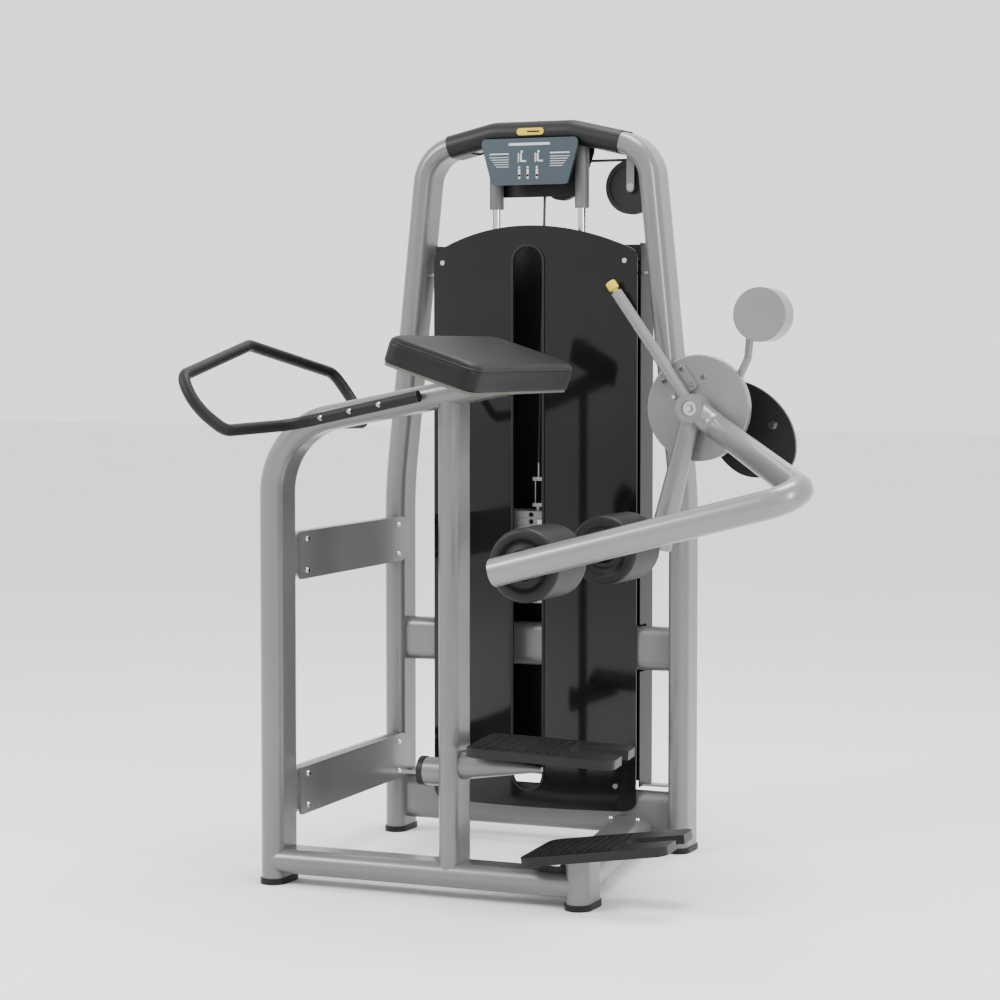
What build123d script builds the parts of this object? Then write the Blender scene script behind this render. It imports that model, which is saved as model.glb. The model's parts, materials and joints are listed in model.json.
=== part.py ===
from build123d import *
import os
from math import asin, atan2, cos, degrees, hypot, radians, sin, tan

# Standing hip-extension (glute kick-back) machine with a selectorised weight stack.
# +Z is up and the floor is Z = 0. +X runs from the user's front to the user's back,
# +Y runs from the free side of the machine to its weight tower.
# The origin is on the floor, under the middle of the whole machine.

os.makedirs("parts", exist_ok=True)

# ---------------------------------------------------------------- driving dimensions
tower_x = -250.9            # centre of the weight tower
tower_y = 459.1
total_height = 1600.0
user_y = tower_y - 644.0    # vertical plane that halves the pad and the handle loop

tube_wide = 98.0            # flat-oval frame tube, long side
tube_thick = 46.0           # flat-oval tube of the tower, short side
front_thick = 50.0          # flat-oval tube of the user frame, short side
tube_wall = 3.0

# ---------------------------------------------------------------- tower
leg_x = 341.0               # from the tower centre to each leg at the floor
lean_z = 790.0              # height where the legs start to lean inwards
lean_angle = 6.0
crossbar_angle = 13.0       # slope of the crossbar's outer thirds
crossbar_bend_x = 92.0
cover_wall = 3.0
foot_height = 12.0
foot_lip = 3.0
foot_floor = 4.0            # rubber under the end of each tube
crossbar_z = total_height - cover_wall - tube_thick / 2
shoulder_x = (
    leg_x - tan(radians(lean_angle)) * (crossbar_z + tan(radians(crossbar_angle)) * crossbar_bend_x - lean_z)
) / (1 - tan(radians(lean_angle)) * tan(radians(crossbar_angle)))
shoulder_z = crossbar_z - tan(radians(crossbar_angle)) * (shoulder_x - crossbar_bend_x)
middle_tube_z = 442.0
lower_tube_z = 78.5
leg_inner = leg_x - tube_thick / 2

# ---------------------------------------------------------------- weight stack
rod_x = 102.0
rod_radius = 9.0
sleeve_radius = 16.0
sleeve_bottom = 1409.0
plate_pitch = 15.7
plate_thick = 15.2
plate_length = 262.0
plate_depth = 90.0
stack_top = 740.0
plate_count = 13            # the top plate included
lifted_count = 4            # pieces that the selector pin picks up, the top plate included
stack_bottom = stack_top - plate_pitch * (plate_count - 1) - plate_thick
pin_hole_radius = 5.5
stem_radius = 11.0
fitting_top = 846.0

# ---------------------------------------------------------------- cable and pulleys
cable_radius = 3.0
cable_y = tower_y + 35.0
groove_depth = 4.0
groove_gap = 0.6
cable_seat = groove_depth - cable_radius - groove_gap      # rim to cable centre
right_pulley_radius = 60.0
right_pulley_x = tower_x + 207.7
right_pulley_z = 1454.0
centre_pulley_radius = 43.0
pulley_width = 17.0
axle_radius = 5.0
hanger_y = tower_y + 20.0
hanger_thick = 5.0
right_seat = right_pulley_radius - cable_seat
centre_seat = centre_pulley_radius - cable_seat
cable_top_z = right_pulley_z + right_seat
centre_pulley_x = tower_x + centre_seat
centre_pulley_z = cable_top_z - centre_seat

# ---------------------------------------------------------------- pivot, cam and press arm
pivot_x = tower_x + 405.0
pivot_z = 973.0
shaft_radius = 12.5
running_gap = 0.05
housing_radius = 45.0
bearing_radius = 26.0
bearing_width = 15.0
housing_front = tower_y - 70.0
housing_back = tower_y + 20.0
cam_rim = 58.0
cam_seat = cam_rim - cable_seat
cam_thick = 12.0
disc_radius = 114.0
disc_front = tower_y - 96.0
disc_depth = 20.0
disc_wall = 4.0
hub_radius = 31.0
hub_front = tower_y - 153.0
arm_y = tower_y - 125.5     # middle of the hub, where both arms start
arm_radius = 27.0
bar_y = tower_y - 930.0     # plane of the bar on the free side
elbow_x = tower_x + 897.0
elbow_z = 839.0
bar_end_x = tower_x + 293.0
axle_x = tower_x + 334.0
axle_z = 692.0
bar_slope = (elbow_z - axle_z) / (elbow_x - axle_x)
roller_radius = 71.0
roller_length = 157.0
roller_axle_radius = 12.5
near_roller_y = tower_y - 893.0
far_roller_y = tower_y - 477.0
lever_angle = 125.0
lever_radius = 12.5
lever_length = 305.0
lever_y = disc_front - 18.5
weight_radius = 57.5
weight_length = 58.0
weight_x = pivot_x + 145.5
weight_z = pivot_z + 198.0

# ---------------------------------------------------------------- user frame
post_x = tower_x - 315.0
arm_slope = 10.7
arm_start_z = 936.0         # where the post's and the arm's centre lines meet
arm_bend = 160.0
beam_z = 47.0
stub_x = tower_x + 360.0
stub_top = 78.0
centre_post_x = tower_x + 82.5
centre_post_thick = 44.0
centre_post_wide = 90.0
brace_zs = (179.5, 671.5)
grip_radius = 12.0
pad_length = 510.0
pad_width = 202.0
pad_thick = 58.0
pad_tilt = 18.0
pad_x = tower_x + 144.0
pad_z = 1073.0
board_thick = 6.0
step_length = 300.0
step_width = 220.0
step_thick = 20.0


def flat_oval(plane, wide, thick, wall=0.0):
    """Section of a flat-oval tube, long side along the plane's X. No wall makes it solid."""
    with BuildSketch(plane) as section:
        SlotOverall(wide, thick)
        if wall:
            SlotOverall(wide - 2 * wall, thick - 2 * wall, mode=Mode.SUBTRACT)
    return section.sketch


def disc_face(plane, radius, bore=0.0):
    """Round section with an optional hole."""
    with BuildSketch(plane) as section:
        Circle(radius)
        if bore:
            Circle(bore, mode=Mode.SUBTRACT)
    return section.sketch


def facing(x, y, z):
    """Plane whose normal is +Y, with its own X along +X and its own Y along -Z."""
    return Plane(origin=(x, y, z), x_dir=(1, 0, 0), z_dir=(0, 1, 0))


def front(y):
    """Vertical plane at a given Y whose normal is -Y, with world X and Z as its own X and Y."""
    return Plane(origin=(0, y, 0), x_dir=(1, 0, 0), z_dir=(0, -1, 0))


def domed(x, y, z):
    """Plane whose normal is -Y, for screw heads that look to the front."""
    return Plane(origin=(x, y, z), x_dir=(1, 0, 0), z_dir=(0, -1, 0))


def upright(x, y, z):
    """Horizontal plane with its own X along +Y."""
    return Plane(origin=(x, y, z), x_dir=(0, 1, 0), z_dir=(0, 0, 1))


def leg_centre(height):
    """Distance of a leg's centre line from the tower centre."""
    return leg_x - tan(radians(lean_angle)) * max(height - lean_z, 0.0)


# ================================================================ tower frame
arch_points = [
    (tower_x - leg_x, tower_y, foot_floor),
    (tower_x - leg_x, tower_y, lean_z),
    (tower_x - shoulder_x, tower_y, shoulder_z),
    (tower_x - crossbar_bend_x, tower_y, crossbar_z),
    (tower_x + crossbar_bend_x, tower_y, crossbar_z),
    (tower_x + shoulder_x, tower_y, shoulder_z),
    (tower_x + leg_x, tower_y, lean_z),
    (tower_x + leg_x, tower_y, foot_floor),
]
arch_radii = [1200.0, 88.0, 70.0, 70.0, 88.0, 1200.0]
slot_z = 1075.0
slot_length = 270.0
slot_width = 12.0

with BuildPart() as arch_frame:
    with BuildLine() as arch_path:
        FilletPolyline(*arch_points, radius=arch_radii)
    sweep(
        sections=flat_oval(upright(tower_x - leg_x, tower_y, foot_floor), tube_wide, tube_thick, tube_wall),
        path=arch_path.wires()[0],
    )
    # notch in the right shoulder for the pulley
    extrude(
        disc_face(facing(right_pulley_x, cable_y - pulley_width / 2 - 1.5, right_pulley_z), right_pulley_radius + 3.5),
        amount=pulley_width + 3.0,
        mode=Mode.SUBTRACT,
    )
    # slot in the right leg's outer wall where the cable comes out to the cam
    with Locations((tower_x + leg_centre(slot_z) + tube_thick / 2, cable_y, slot_z)):
        Box(tube_thick, slot_width, slot_length, mode=Mode.SUBTRACT)
arch_frame.part.label = "arch_frame"
export_step(arch_frame.part, "parts/arch_frame.step")

# solid envelope of the bent tube, used to cope whatever meets it
with BuildPart() as arch_space:
    sweep(
        sections=flat_oval(upright(tower_x - leg_x, tower_y, foot_floor), tube_wide, tube_thick),
        path=arch_path.wires()[0],
    )



def cross_start(height):
    """Section plane at the left leg's inner side for a tube that joins both legs."""
    return Plane(origin=(tower_x - leg_inner, tower_y, height), x_dir=(0, 0, 1), z_dir=(1, 0, 0))


with BuildPart() as lower_cross_tube:
    extrude(flat_oval(cross_start(lower_tube_z), tube_wide, tube_thick, tube_wall), amount=2 * leg_inner)
lower_cross_tube.part.label = "lower_cross_tube"
export_step(lower_cross_tube.part, "parts/lower_cross_tube.step")

with BuildPart() as middle_cross_tube:
    extrude(flat_oval(cross_start(middle_tube_z), tube_wide, tube_thick, tube_wall), amount=2 * leg_inner)
middle_cross_tube.part.label = "middle_cross_tube"
export_step(middle_cross_tube.part, "parts/middle_cross_tube.step")

feet = [
    (tower_x - leg_x, tower_y, tube_thick),
    (tower_x + leg_x, tower_y, tube_thick),
    (post_x, user_y, front_thick),
    (stub_x, user_y, front_thick),
]
with BuildPart() as rubber_feet:
    for x, y, thick in feet:
        foot = upright(x, y, 0)
        extrude(flat_oval(foot, tube_wide + 2 * foot_lip, thick + 2 * foot_lip), amount=foot_height)
        extrude(flat_oval(foot.offset(foot_floor), tube_wide, thick), amount=foot_height, mode=Mode.SUBTRACT)
rubber_feet.part.label = "rubber_feet"
export_step(rubber_feet.part, "parts/rubber_feet.step")

# ================================================================ top cover and placard
cover_end_x = 203.0
cover_end_z = crossbar_z - tan(radians(crossbar_angle)) * (cover_end_x - crossbar_bend_x)
cover_start = Plane(
    origin=(tower_x - cover_end_x, tower_y, cover_end_z),
    x_dir=(0, 1, 0),
    z_dir=(cos(radians(crossbar_angle)), 0, sin(radians(crossbar_angle))),
)

with BuildPart() as top_cover:
    with BuildLine() as cover_path:
        FilletPolyline(
            (tower_x - cover_end_x, tower_y, cover_end_z),
            (tower_x - crossbar_bend_x, tower_y, crossbar_z),
            (tower_x + crossbar_bend_x, tower_y, crossbar_z),
            (tower_x + cover_end_x, tower_y, cover_end_z),
            radius=70.0,
        )
    outer = flat_oval(cover_start, tube_wide + 2 * cover_wall, tube_thick + 2 * cover_wall)
    sweep(sections=outer, path=cover_path.wires()[0])
    add(arch_space.part, mode=Mode.SUBTRACT)
    # openings in the underside for the guide rods, the sleeves and the pulley hangers
    with Locations((tower_x, tower_y, crossbar_z - tube_thick / 2 - cover_wall)):
        Box(2 * cover_end_x - 50.0, 56.0, 30.0, mode=Mode.SUBTRACT)
top_cover.part.label = "top_cover"
export_step(top_cover.part, "parts/top_cover.step")

with BuildPart() as cover_space:
    outer = flat_oval(cover_start, tube_wide + 2 * cover_wall, tube_thick + 2 * cover_wall)
    sweep(sections=outer, path=cover_path.wires()[0])

cover_front = tower_y - tube_wide / 2 - cover_wall
placard_y = cover_front - 3.0
placard_top = 1561.0
placard_bottom = 1459.0
with BuildPart() as placard:
    with BuildSketch(front(placard_y)) as placard_outline:
        with BuildLine():
            Polyline(
                (tower_x - 118.0, placard_top),
                (tower_x + 118.0, placard_top),
                (tower_x + 90.0, placard_bottom),
                (tower_x - 90.0, placard_bottom),
                close=True,
            )
        make_face()
        fillet(placard_outline.vertices(), radius=11.0)
    extrude(amount=2.0)
placard.part.label = "placard"
export_step(placard.part, "parts/placard.step")

with BuildPart() as placard_bracket:
    with BuildSketch(front(placard_y)) as bracket_outline:
        with BuildLine():
            Polyline(
                (tower_x - 113.0, placard_top - 3.0),
                (tower_x + 113.0, placard_top - 3.0),
                (tower_x + 87.0, placard_bottom + 3.0),
                (tower_x - 87.0, placard_bottom + 3.0),
                close=True,
            )
        make_face()
        fillet(bracket_outline.vertices(), radius=9.0)
    extrude(amount=-20.0)
    add(cover_space.part, mode=Mode.SUBTRACT)
placard_bracket.part.label = "placard_bracket"
export_step(placard_bracket.part, "parts/placard_bracket.step")

rear_cover_y = tower_y + sleeve_radius + 0.5
with BuildPart() as rear_pulley_cover:
    with BuildSketch(front(rear_cover_y + 2.0)) as rear_cover_outline:
        with BuildLine():
            Polyline(
                (tower_x - 126.0, 1560.0),
                (tower_x + 126.0, 1560.0),
                (tower_x + 124.0, 1530.0),
                (tower_x + 92.0, 1436.0),
                (tower_x - 92.0, 1436.0),
                (tower_x - 124.0, 1530.0),
                close=True,
            )
        make_face()
        fillet(rear_cover_outline.vertices().sort_by(Axis.Z)[:2], radius=12.0)
    extrude(amount=2.0)
    add(arch_space.part, mode=Mode.SUBTRACT)
    add(top_cover.part, mode=Mode.SUBTRACT)
rear_pulley_cover.part.label = "rear_pulley_cover"
export_step(rear_pulley_cover.part, "parts/rear_pulley_cover.step")

# ================================================================ guide rods
rod_bottom = middle_tube_z + tube_wide / 2
rod_top = 1536.0
with BuildPart() as guide_rods:
    for side in (-1, 1):
        extrude(disc_face(upright(tower_x + side * rod_x, tower_y, rod_bottom), rod_radius), amount=rod_top - rod_bottom)
guide_rods.part.label = "guide_rods"
export_step(guide_rods.part, "parts/guide_rods.step")

with BuildPart() as rod_sleeves:
    for side in (-1, 1):
        section = disc_face(upright(tower_x + side * rod_x, tower_y, sleeve_bottom), sleeve_radius, rod_radius)
        extrude(section, amount=150.0)
    add(arch_space.part, mode=Mode.SUBTRACT)
rod_sleeves.part.label = "rod_sleeves"
export_step(rod_sleeves.part, "parts/rod_sleeves.step")

with BuildPart() as stack_bumpers:
    for side in (-1, 1):
        section = disc_face(upright(tower_x + side * rod_x, tower_y, rod_bottom), 20.0, rod_radius)
        extrude(section, amount=stack_bottom - rod_bottom)
stack_bumpers.part.label = "stack_bumpers"
export_step(stack_bumpers.part, "parts/stack_bumpers.step")

# ================================================================ weight stack
pin_index = lifted_count - 1
pin_z = stack_top - plate_thick / 2 - plate_pitch * pin_index
rod_hole = rod_radius + 0.5
stem_hole = stem_radius + 0.5


def plate_low(index):
    """Underside of a plate, counted down from the top plate, which is 0."""
    return stack_top - plate_pitch * index - plate_thick


with BuildPart() as plates_at_rest:
    for index in range(lifted_count, plate_count):
        with Locations((tower_x, tower_y, plate_low(index) + plate_thick / 2)):
            Box(plate_length, plate_depth, plate_thick)
        with Locations((tower_x, tower_y - plate_depth / 4, plate_low(index) + plate_thick / 2)):
            Box(2 * pin_hole_radius, plate_depth / 2, 2 * pin_hole_radius, mode=Mode.SUBTRACT)
    with Locations((tower_x - rod_x, tower_y, 0), (tower_x + rod_x, tower_y, 0)):
        Cylinder(rod_hole, 3000.0, mode=Mode.SUBTRACT)
    with Locations((tower_x, tower_y, 0)):
        Cylinder(stem_hole, 3000.0, mode=Mode.SUBTRACT)
plates_at_rest.part.label = "plates_at_rest"
export_step(plates_at_rest.part, "parts/plates_at_rest.step")

with BuildPart() as plates_lifted:
    for index in range(1, lifted_count):
        with Locations((tower_x, tower_y, plate_low(index) + plate_thick / 2)):
            Box(plate_length, plate_depth, plate_thick)
        extrude(
            disc_face(facing(tower_x, tower_y - plate_depth / 2, plate_low(index) + plate_thick / 2), pin_hole_radius),
            amount=plate_depth / 2,
            mode=Mode.SUBTRACT,
        )
    with Locations((tower_x - rod_x, tower_y, 0), (tower_x + rod_x, tower_y, 0)):
        Cylinder(rod_hole, 3000.0, mode=Mode.SUBTRACT)
    with Locations((tower_x, tower_y, 0)):
        Cylinder(stem_hole, 3000.0, mode=Mode.SUBTRACT)
plates_lifted.part.label = "plates_lifted"
export_step(plates_lifted.part, "parts/plates_lifted.step")

with BuildPart() as top_plate:
    with Locations((tower_x, tower_y, stack_top - plate_thick / 2)):
        Box(plate_length, plate_depth, plate_thick)
    extrude(
        disc_face(facing(tower_x, tower_y - plate_depth / 2, stack_top - plate_thick / 2), pin_hole_radius),
        amount=plate_depth / 2,
        mode=Mode.SUBTRACT,
    )
    with Locations((tower_x - rod_x, tower_y, 0), (tower_x + rod_x, tower_y, 0)):
        Cylinder(rod_hole, 3000.0, mode=Mode.SUBTRACT)
    with Locations((tower_x, tower_y, 0)):
        Cylinder(stem_radius, 3000.0, mode=Mode.SUBTRACT)
top_plate.part.label = "top_plate"
export_step(top_plate.part, "parts/top_plate.step")

stem_bottom = plate_low(plate_count - 1) + 4.0
with BuildPart() as selector_stem:
    extrude(disc_face(upright(tower_x, tower_y, stem_bottom), stem_radius), amount=stack_top + 8.0 - stem_bottom)
    for index in range(plate_count):
        hole_plane = facing(tower_x, tower_y - stem_radius, plate_low(index) + plate_thick / 2)
        extrude(disc_face(hole_plane, pin_hole_radius), amount=stem_radius + 2.0, mode=Mode.SUBTRACT)
selector_stem.part.label = "selector_stem"
export_step(selector_stem.part, "parts/selector_stem.step")

with BuildPart() as cable_fitting:
    with Locations((tower_x, tower_y, stack_top + 12.0), (tower_x, tower_y, stack_top + 70.0)):
        Box(24.0, 16.0, 8.0)
    with Locations((tower_x - 8.0, tower_y, stack_top + 41.0), (tower_x + 8.0, tower_y, stack_top + 41.0)):
        Cylinder(2.5, 54.0)
    with Locations((tower_x, tower_y, stack_top + 74.0)):
        Cylinder(4.5, fitting_top - stack_top - 74.0, align=(Align.CENTER, Align.CENTER, Align.MIN))
cable_fitting.part.label = "cable_fitting"
export_step(cable_fitting.part, "parts/cable_fitting.step")

pin_head = tower_y - 78.0
with BuildPart() as selector_pin:
    extrude(disc_face(facing(tower_x, pin_head, pin_z), 12.0), amount=20.0)
    fillet(selector_pin.edges(), radius=3.0)
    extrude(disc_face(facing(tower_x, pin_head + 20.0, pin_z), pin_hole_radius - running_gap), amount=57.0)
selector_pin.part.label = "selector_pin"
export_step(selector_pin.part, "parts/selector_pin.step")

# ================================================================ pulleys and cable
def pulley_section(x, z, radius):
    """Half section of a grooved pulley in the plane that holds its axis."""
    with BuildSketch(Plane(origin=(x, cable_y, z), x_dir=(1, 0, 0), z_dir=(0, 0, 1))) as section:
        inner = axle_radius + running_gap
        with Locations(((radius + inner) / 2, 0)):
            Rectangle(radius - inner, pulley_width)
        web_middle = (radius - 10.0 + 14.0) / 2
        with Locations((web_middle, pulley_width / 2), (web_middle, -pulley_width / 2)):
            Rectangle(radius - 24.0, 6.0, mode=Mode.SUBTRACT)
        with Locations((radius - cable_seat, 0)):
            Circle(cable_radius + groove_gap, mode=Mode.SUBTRACT)
    return section.sketch


with BuildPart() as right_pulley:
    revolve(
        pulley_section(right_pulley_x, right_pulley_z, right_pulley_radius),
        axis=Axis((right_pulley_x, cable_y, right_pulley_z), (0, 1, 0)),
    )
right_pulley.part.label = "right_pulley"
export_step(right_pulley.part, "parts/right_pulley.step")

with BuildPart() as centre_pulley:
    revolve(
        pulley_section(centre_pulley_x, centre_pulley_z, centre_pulley_radius),
        axis=Axis((centre_pulley_x, cable_y, centre_pulley_z), (0, 1, 0)),
    )
centre_pulley.part.label = "centre_pulley"
export_step(centre_pulley.part, "parts/centre_pulley.step")

with BuildPart() as pulley_hangers:
    for x, z in ((right_pulley_x, right_pulley_z), (centre_pulley_x, centre_pulley_z)):
        with BuildSketch(front(hanger_y + hanger_thick)):
            with Locations((x, z + 40.0)):
                SlotOverall(104.0, 18.0, rotation=90)
        extrude(amount=hanger_thick)
        extrude(disc_face(facing(x, hanger_y, z), axle_radius), amount=hanger_thick, mode=Mode.SUBTRACT)
    add(arch_space.part, mode=Mode.SUBTRACT)
pulley_hangers.part.label = "pulley_hangers"
export_step(pulley_hangers.part, "parts/pulley_hangers.step")

axle_end = cable_y + pulley_width / 2
with BuildPart() as pulley_axles:
    for x, z in ((right_pulley_x, right_pulley_z), (centre_pulley_x, centre_pulley_z)):
        extrude(disc_face(facing(x, hanger_y, z), axle_radius), amount=axle_end + 6.0 - hanger_y)
        extrude(disc_face(facing(x, hanger_y - 1.2, z), 8.0), amount=1.2)
        extrude(disc_face(facing(x, axle_end + 1.0, z), 9.0), amount=5.0)
pulley_axles.part.label = "pulley_axles"
export_step(pulley_axles.part, "parts/pulley_axles.step")

# The run from the right pulley to the cam crosses from one side to the other.
run_span = hypot(pivot_x - right_pulley_x, right_pulley_z - pivot_z)
run_angle = atan2(pivot_z - right_pulley_z, pivot_x - right_pulley_x) - asin((right_seat + cam_seat) / run_span)
run_normal = (-sin(run_angle), cos(run_angle))
leave_x = right_pulley_x + right_seat * run_normal[0]
leave_z = right_pulley_z + right_seat * run_normal[1]
meet_x = pivot_x - cam_seat * run_normal[0]
meet_z = pivot_z - cam_seat * run_normal[1]
half_wrap = (radians(90) + atan2(run_normal[1], run_normal[0])) / 2
top_turn = 0.5 ** 0.5

with BuildPart() as lift_cable:
    with BuildLine() as cable_path:
        ThreePointArc(
            (tower_x, cable_y, centre_pulley_z),
            (centre_pulley_x - centre_seat * top_turn, cable_y, centre_pulley_z + centre_seat * top_turn),
            (centre_pulley_x, cable_y, cable_top_z),
        )
        Line((centre_pulley_x, cable_y, cable_top_z), (right_pulley_x, cable_y, cable_top_z))
        ThreePointArc(
            (right_pulley_x, cable_y, cable_top_z),
            (
                right_pulley_x + right_seat * cos(half_wrap),
                cable_y,
                right_pulley_z + right_seat * sin(half_wrap),
            ),
            (leave_x, cable_y, leave_z),
        )
        Line((leave_x, cable_y, leave_z), (meet_x, cable_y, meet_z))
    sweep(
        sections=disc_face(upright(tower_x, cable_y, centre_pulley_z), cable_radius),
        path=cable_path.wires()[0],
    )
lift_cable.part.label = "lift_cable"
export_step(lift_cable.part, "parts/lift_cable.step")

drop_gap = 1.0
drop_start = Vector(tower_x, cable_y, centre_pulley_z - drop_gap)
drop_end = Vector(tower_x, tower_y, fitting_top)
with BuildPart() as cable_drop:
    drop_plane = Plane(origin=drop_start, x_dir=(1, 0, 0), z_dir=drop_end - drop_start)
    extrude(disc_face(drop_plane, cable_radius), amount=(drop_end - drop_start).length - 0.5)
cable_drop.part.label = "cable_drop"
export_step(cable_drop.part, "parts/cable_drop.step")

# ================================================================ pivot
gusset_thick = 8.0
gusset_top = 1105.0         # heights where the gussets meet the leg's centre line
gusset_bottom = 840.0
gusset_inset = 6.0
with BuildPart() as bearing_housing:
    for y in (tower_y - 20.0, tower_y + 18.0):
        with BuildSketch(front(y)):
            with BuildLine():
                Polyline(
                    (tower_x + leg_centre(gusset_top), gusset_top),
                    (pivot_x - 18.0, pivot_z + housing_radius - gusset_inset),
                    (pivot_x - 18.0, pivot_z - housing_radius + gusset_inset),
                    (tower_x + leg_centre(gusset_bottom), gusset_bottom),
                    close=True,
                )
            make_face()
        extrude(amount=gusset_thick)
    add(arch_space.part, mode=Mode.SUBTRACT)
    extrude(disc_face(facing(pivot_x, housing_front, pivot_z), housing_radius), amount=housing_back - housing_front)
    extrude(
        disc_face(facing(pivot_x, housing_front, pivot_z), bearing_radius),
        amount=housing_back - housing_front,
        mode=Mode.SUBTRACT,
    )
bearing_housing.part.label = "bearing_housing"
export_step(bearing_housing.part, "parts/bearing_housing.step")

with BuildPart() as pivot_bearings:
    for y in (housing_front + 2.0, housing_back - 2.0 - bearing_width):
        section = disc_face(facing(pivot_x, y, pivot_z), bearing_radius, shaft_radius + running_gap)
        extrude(section, amount=bearing_width)
pivot_bearings.part.label = "pivot_bearings"
export_step(pivot_bearings.part, "parts/pivot_bearings.step")

shaft_front = hub_front + 8.0
shaft_back = tower_y + 46.0
with BuildPart() as pivot_shaft:
    extrude(disc_face(facing(pivot_x, shaft_front, pivot_z), shaft_radius), amount=shaft_back - shaft_front)
pivot_shaft.part.label = "pivot_shaft"
export_step(pivot_shaft.part, "parts/pivot_shaft.step")

# ---------------------------------------------------------------- cam, seen from the front
cam_front = cable_y - cam_thick / 2
round_start = 80.0          # the rim is round about the shaft between these two angles
round_end = 240.0
groove_start = 76.0
groove_turn = 172.0


def on_rim(radius, angle):
    """Point at a polar angle about the shaft in the XZ plane."""
    return pivot_x + radius * cos(radians(angle)), pivot_z + radius * sin(radians(angle))


with BuildPart() as cam:
    with BuildSketch(front(cam_front + cam_thick)):
        with BuildLine():
            ThreePointArc(on_rim(cam_rim, round_start), on_rim(cam_rim, 160.0), on_rim(cam_rim, round_end))
            Spline(
                on_rim(cam_rim, round_end),
                (pivot_x + 12.0, pivot_z - 111.0),
                (pivot_x + 60.0, pivot_z - 147.0),
                (pivot_x + 120.0, pivot_z - 150.0),
                (pivot_x + 168.0, pivot_z - 127.0),
                (pivot_x + 179.0, pivot_z - 78.0),
                (pivot_x + 128.0, pivot_z + 19.0),
                on_rim(cam_rim, round_start),
            )
        make_face()
    extrude(amount=cam_thick)
    extrude(disc_face(facing(pivot_x, housing_back + 0.5, pivot_z), 20.0), amount=cam_front - housing_back)
    groove_out = (cos(radians(groove_start)), 0, sin(radians(groove_start)))
    groove_along = (sin(radians(groove_start)), 0, -cos(radians(groove_start)))
    with BuildSketch(Plane(origin=(pivot_x, cable_y, pivot_z), x_dir=groove_out, z_dir=groove_along)):
        with Locations((cam_seat, 0)):
            Circle(cable_radius + groove_gap)
    revolve(
        axis=Axis((pivot_x, cable_y, pivot_z), (0, -1, 0)),
        revolution_arc=groove_turn,
        mode=Mode.SUBTRACT,
    )
    extrude(disc_face(facing(pivot_x, tower_y, pivot_z), shaft_radius), amount=80.0, mode=Mode.SUBTRACT)
cam.part.label = "cam"
export_step(cam.part, "parts/cam.step")

wrap_start = 181.5 + degrees(atan2(run_normal[1], run_normal[0]))      # cable in the groove from here
wrap_end = 244.0            # to here
with BuildPart() as cam_cable:
    with BuildLine() as wrap_path:
        begin = on_rim(cam_seat, wrap_start)
        middle = on_rim(cam_seat, (wrap_start + wrap_end) / 2)
        finish = on_rim(cam_seat, wrap_end)
        ThreePointArc((begin[0], cable_y, begin[1]), (middle[0], cable_y, middle[1]), (finish[0], cable_y, finish[1]))
    wrap_plane = Plane(origin=wrap_path.line @ 0, x_dir=(0, 1, 0), z_dir=wrap_path.line % 0)
    sweep(sections=disc_face(wrap_plane, cable_radius), path=wrap_path.wires()[0])
cam_cable.part.label = "cam_cable"
export_step(cam_cable.part, "parts/cam_cable.step")

nut_radius = 20.0
washer_radius = 15.5
washer_thick = 3.5
with BuildPart() as shaft_bolts:
    with BuildSketch(facing(pivot_x, cam_front + cam_thick, pivot_z)):
        RegularPolygon(nut_radius, 6)
        Circle(shaft_radius, mode=Mode.SUBTRACT)
    extrude(amount=shaft_back - cam_front - cam_thick)
    extrude(disc_face(facing(pivot_x, shaft_front - washer_thick, pivot_z), washer_radius), amount=washer_thick)
    extrude(disc_face(domed(pivot_x, shaft_front - washer_thick, pivot_z), 8.0), amount=5.0, taper=20.0)
    # weight stop on the cam
    extrude(disc_face(domed(pivot_x + 128.5, cam_front, pivot_z - 38.5), 11.0), amount=4.0, taper=20.0)
shaft_bolts.part.label = "shaft_bolts"
export_step(shaft_bolts.part, "parts/shaft_bolts.step")

# ================================================================ press arm
hub_back = housing_front - 6.0
hub_recess = 16.5
with BuildPart() as hub_space:
    extrude(disc_face(facing(pivot_x, hub_front - 10.0, pivot_z), hub_radius), amount=hub_back - hub_front + 10.0)

with BuildPart() as arm_hub:
    section = disc_face(facing(pivot_x, hub_front, pivot_z), hub_radius, shaft_radius + running_gap)
    extrude(section, amount=hub_back - hub_front)
    extrude(disc_face(facing(pivot_x, hub_front, pivot_z), hub_recess), amount=9.0, mode=Mode.SUBTRACT)
arm_hub.part.label = "arm_hub"
export_step(arm_hub.part, "parts/arm_hub.step")

with BuildPart() as range_disc:
    extrude(disc_face(facing(pivot_x, disc_front, pivot_z), disc_radius), amount=disc_depth)
    fillet(range_disc.faces().sort_by(Axis.Y)[0].edges(), radius=3.0)
    extrude(
        disc_face(facing(pivot_x, disc_front + disc_wall, pivot_z), disc_radius - disc_wall),
        amount=disc_depth,
        mode=Mode.SUBTRACT,
    )
    add(hub_space.part, mode=Mode.SUBTRACT)
range_disc.part.label = "range_disc"
export_step(range_disc.part, "parts/range_disc.step")

lever_out = (cos(radians(lever_angle)), 0, sin(radians(lever_angle)))
lever_side = (sin(radians(lever_angle)), 0, -cos(radians(lever_angle)))
lever_offset = -4.0
lever_bore = 6.5
plate_front = disc_front - 7.0


def on_lever(along, across, y):
    """Point of the press arm given along and across the selector lever."""
    return (
        pivot_x + along * lever_out[0] + across * lever_side[0],
        y,
        pivot_z + along * lever_out[2] + across * lever_side[2],
    )


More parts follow.
